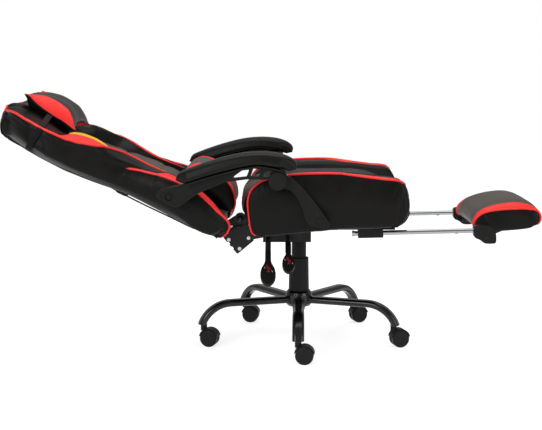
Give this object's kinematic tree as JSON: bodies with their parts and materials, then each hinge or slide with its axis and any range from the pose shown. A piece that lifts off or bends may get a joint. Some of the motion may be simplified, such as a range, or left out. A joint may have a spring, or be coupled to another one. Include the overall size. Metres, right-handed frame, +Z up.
{
  "type": "gaming chair",
  "caption": "Racing-style reclining swivel chair on a wheeled star base, with linked armrests, head and lumbar pillows and a pull-out footrest.",
  "frame": {"origin": "on the floor, under the middle of the chair's length and width, as shown reclined with the footrest out", "axes": "+X is the way the seat faces, +Y is the chair's left side, +Z is up"},
  "size_m": [1.6274, 0.69, 0.7962],
  "materials": {
    "base_steel": "gloss black paint",
    "column_steel": "satin black paint",
    "bright_steel": "ground and polished",
    "bush_plastic": "natural nylon",
    "cover_plastic": "fine texture",
    "caster_plastic": "moulded, semi-gloss",
    "wheel_nylon": "smooth moulded",
    "mechanism_steel": "satin black paint",
    "bolt_steel": "zinc plated",
    "plywood": "bare birch plywood",
    "black_upholstery": "synthetic leather over foam, soft sheen, red stripes and yellow piping drawn in the looks",
    "guide_plastic": "moulded nylon",
    "spring_steel": "oiled spring steel",
    "black_bolt_steel": "black oxide",
    "lever_steel": "zinc plated",
    "grip_plastic": "semi-gloss moulded",
    "frame_steel": "satin black paint",
    "black_lining": "synthetic leather cover",
    "headrest_fabric": "red synthetic leather sides with a dark middle",
    "strap_webbing": "woven elastic",
    "buckle_plastic": "moulded",
    "arm_plastic": "fine moulded texture",
    "arm_pad_foam": "soft self-skinned foam",
    "rod_chrome": "polished",
    "bracket_plastic": "fine moulded texture",
    "footrest_board_wood": "black-lined plywood on steel ears",
    "footrest_upholstery": "synthetic leather, grey-brown top with a red band"
  },
  "bodies": {
    "base": {"base_hub": "base_steel", "base_legs": "base_steel", "gas_lift_tube": "column_steel", "gas_piston_rod": "bright_steel", "lift_guide_bush": "bush_plastic", "lower_column_cover": "cover_plastic"},
    "caster_1": {"caster_1_fork": "caster_plastic"},
    "caster_1_wheel_pair": {"caster_1_wheels": "wheel_nylon"},
    "caster_2": {"caster_2_fork": "caster_plastic"},
    "caster_2_wheel_pair": {"caster_2_wheels": "wheel_nylon"},
    "caster_3": {"caster_3_fork": "caster_plastic"},
    "caster_3_wheel_pair": {"caster_3_wheels": "wheel_nylon"},
    "caster_4": {"caster_4_fork": "caster_plastic"},
    "caster_4_wheel_pair": {"caster_4_wheels": "wheel_nylon"},
    "caster_5": {"caster_5_fork": "caster_plastic"},
    "caster_5_wheel_pair": {"caster_5_wheels": "wheel_nylon"},
    "lift": {"gas_cylinder": "column_steel", "upper_column_cover": "cover_plastic"},
    "valve": {"gas_valve_pin": "bright_steel"},
    "seat": {"seat_mechanism": "mechanism_steel", "mechanism_bolts": "bolt_steel", "seat_board": "plywood", "seat_cushion": "black_upholstery", "seat_bolster_left": "black_upholstery", "seat_bolster_right": "black_upholstery", "rod_guide_left": "guide_plastic", "rod_guide_right": "guide_plastic", "recliner_plate_left": "mechanism_steel", "recliner_plate_right": "mechanism_steel", "recliner_bolts": "bolt_steel", "recliner_carrier": "mechanism_steel", "recline_pivot_rod": "bright_steel", "recline_springs": "spring_steel", "strut_bolts": "black_bolt_steel"},
    "lift_lever": {"lift_lever_rod": "lever_steel", "lift_lever_grip": "grip_plastic"},
    "recline_lever": {"recline_lever_rod": "lever_steel", "recline_lever_grip": "grip_plastic"},
    "backrest": {"back_frame": "frame_steel", "back_brackets": "frame_steel", "back_panel": "black_upholstery", "back_wing_left": "black_upholstery", "back_wing_right": "black_upholstery", "back_shell": "black_lining", "headrest_pillow": "headrest_fabric", "headrest_strap": "strap_webbing", "lumbar_pillow": "black_upholstery", "back_strap": "strap_webbing", "strap_buckle": "buckle_plastic", "arm_bolts": "black_bolt_steel"},
    "armrest_left": {"arm_frame_left": "arm_plastic", "arm_pad_left": "arm_pad_foam"},
    "armrest_right": {"arm_frame_right": "arm_plastic", "arm_pad_right": "arm_pad_foam"},
    "arm_strut_left": {"arm_strut_left": "arm_plastic"},
    "arm_strut_right": {"arm_strut_right": "arm_plastic"},
    "footrest_frame": {"footrest_rods": "rod_chrome", "footrest_brackets": "bracket_plastic"},
    "footrest": {"footrest_board": "footrest_board_wood", "footrest_pad": "footrest_upholstery"}
  },
  "joints": [
    {"name": "caster_1_swivel", "type": "hinge", "parent": "base", "child": "caster_1", "pos_m": [0.07129, -0.31188, 0.066], "axis": [0, 0, 1], "continuous": true},
    {"name": "caster_1_roll", "type": "hinge", "parent": "caster_1", "child": "caster_1_wheel_pair", "pos_m": [0.09022, -0.31353, 0.0275], "axis": [0.0872, 0.9962, 0], "continuous": true},
    {"name": "caster_2_swivel", "type": "hinge", "parent": "base", "child": "caster_2", "pos_m": [0.37392, -0.10466, 0.066], "axis": [0, 0, 1], "continuous": true},
    {"name": "caster_2_roll", "type": "hinge", "parent": "caster_2", "child": "caster_2_wheel_pair", "pos_m": [0.39227, -0.09974, 0.0275], "axis": [-0.2588, 0.9659, 0], "continuous": true},
    {"name": "caster_3_swivel", "type": "hinge", "parent": "base", "child": "caster_3", "pos_m": [0.27037, 0.24719, 0.066], "axis": [0, 0, 1], "continuous": true},
    {"name": "caster_3_roll", "type": "hinge", "parent": "caster_3", "child": "caster_3_wheel_pair", "pos_m": [0.28853, 0.25275, 0.0275], "axis": [-0.2924, 0.9563, 0], "continuous": true},
    {"name": "caster_4_swivel", "type": "hinge", "parent": "base", "child": "caster_4", "pos_m": [-0.09627, 0.25744, 0.066], "axis": [0, 0, 1], "continuous": true},
    {"name": "caster_4_roll", "type": "hinge", "parent": "caster_4", "child": "caster_4_wheel_pair", "pos_m": [-0.0775, 0.25446, 0.0275], "axis": [0.1564, 0.9877, 0], "continuous": true},
    {"name": "caster_5_swivel", "type": "hinge", "parent": "base", "child": "caster_5", "pos_m": [-0.21931, -0.08809, 0.066], "axis": [0, 0, 1], "continuous": true},
    {"name": "caster_5_roll", "type": "hinge", "parent": "caster_5", "child": "caster_5_wheel_pair", "pos_m": [-0.20095, -0.09301, 0.0275], "axis": [0.2588, 0.9659, 0], "continuous": true},
    {"name": "seat_lift", "type": "slide", "parent": "base", "child": "lift", "axis": [0, 0, 1], "range_m": [-0.055, 0.04]},
    {"name": "seat_swivel", "type": "hinge", "parent": "lift", "child": "seat", "pos_m": [0.08, 0, 0.35], "axis": [0, 0, 1], "continuous": true},
    {"name": "lift_lever_pull", "type": "hinge", "parent": "seat", "child": "lift_lever", "pos_m": [0.044, -0.07, 0.36], "axis": [-1, 0, 0], "range_deg": [0, 4.5], "stiffness_Nm_per_rad": 3, "springref_deg": -8.59},
    {"name": "valve_press", "type": "slide", "parent": "lift", "child": "valve", "axis": [0, 0, 1], "range_m": [-0.0059, 0]},
    {"name": "recline_lever_pull", "type": "hinge", "parent": "seat", "child": "recline_lever", "pos_m": [-0.018, -0.07, 0.36], "axis": [-1, 0, 0], "range_deg": [0, 8], "stiffness_Nm_per_rad": 3, "springref_deg": -8.59},
    {"name": "back_recline", "type": "hinge", "parent": "seat", "child": "backrest", "pos_m": [-0.108, 0, 0.378], "axis": [0, 1, 0], "range_deg": [0, 45]},
    {"name": "armrest_left_tilt", "type": "hinge", "parent": "backrest", "child": "armrest_left", "pos_m": [-0.306, 0.3, 0.497], "axis": [0, 1, 0], "range_deg": [-37, 1]},
    {"name": "arm_strut_left_tilt", "type": "hinge", "parent": "seat", "child": "arm_strut_left", "pos_m": [0.137, 0.274, 0.423], "axis": [0, 1, 0], "range_deg": [-1, 53]},
    {"name": "armrest_right_tilt", "type": "hinge", "parent": "backrest", "child": "armrest_right", "pos_m": [-0.306, -0.3, 0.497], "axis": [0, 1, 0], "range_deg": [-37, 1]},
    {"name": "arm_strut_right_tilt", "type": "hinge", "parent": "seat", "child": "arm_strut_right", "pos_m": [0.137, -0.274, 0.423], "axis": [0, 1, 0], "range_deg": [-1, 53]},
    {"name": "footrest_slide", "type": "slide", "parent": "seat", "child": "footrest_frame", "axis": [0.9997, 0, 0.0244], "range_m": [-0.215, 0]},
    {"name": "footrest_flip", "type": "hinge", "parent": "footrest_frame", "child": "footrest", "pos_m": [0.635, 0, 0.3635], "axis": [0, 1, 0], "range_deg": [0, 181]}
  ],
  "couplings": [
    {"joint": "armrest_left_tilt", "follows": "back_recline", "ratio": -0.799},
    {"joint": "armrest_right_tilt", "follows": "back_recline", "ratio": -0.799},
    {"joint": "arm_strut_left_tilt", "follows": "back_recline", "ratio": 1.1485},
    {"joint": "arm_strut_right_tilt", "follows": "back_recline", "ratio": 1.1485},
    {"joint": "footrest_flip", "follows": "footrest_slide", "rad_per_m": -14.612},
    {"joint": "valve_press", "follows": "lift_lever_pull", "m_per_rad": -0.0739}
  ]
}
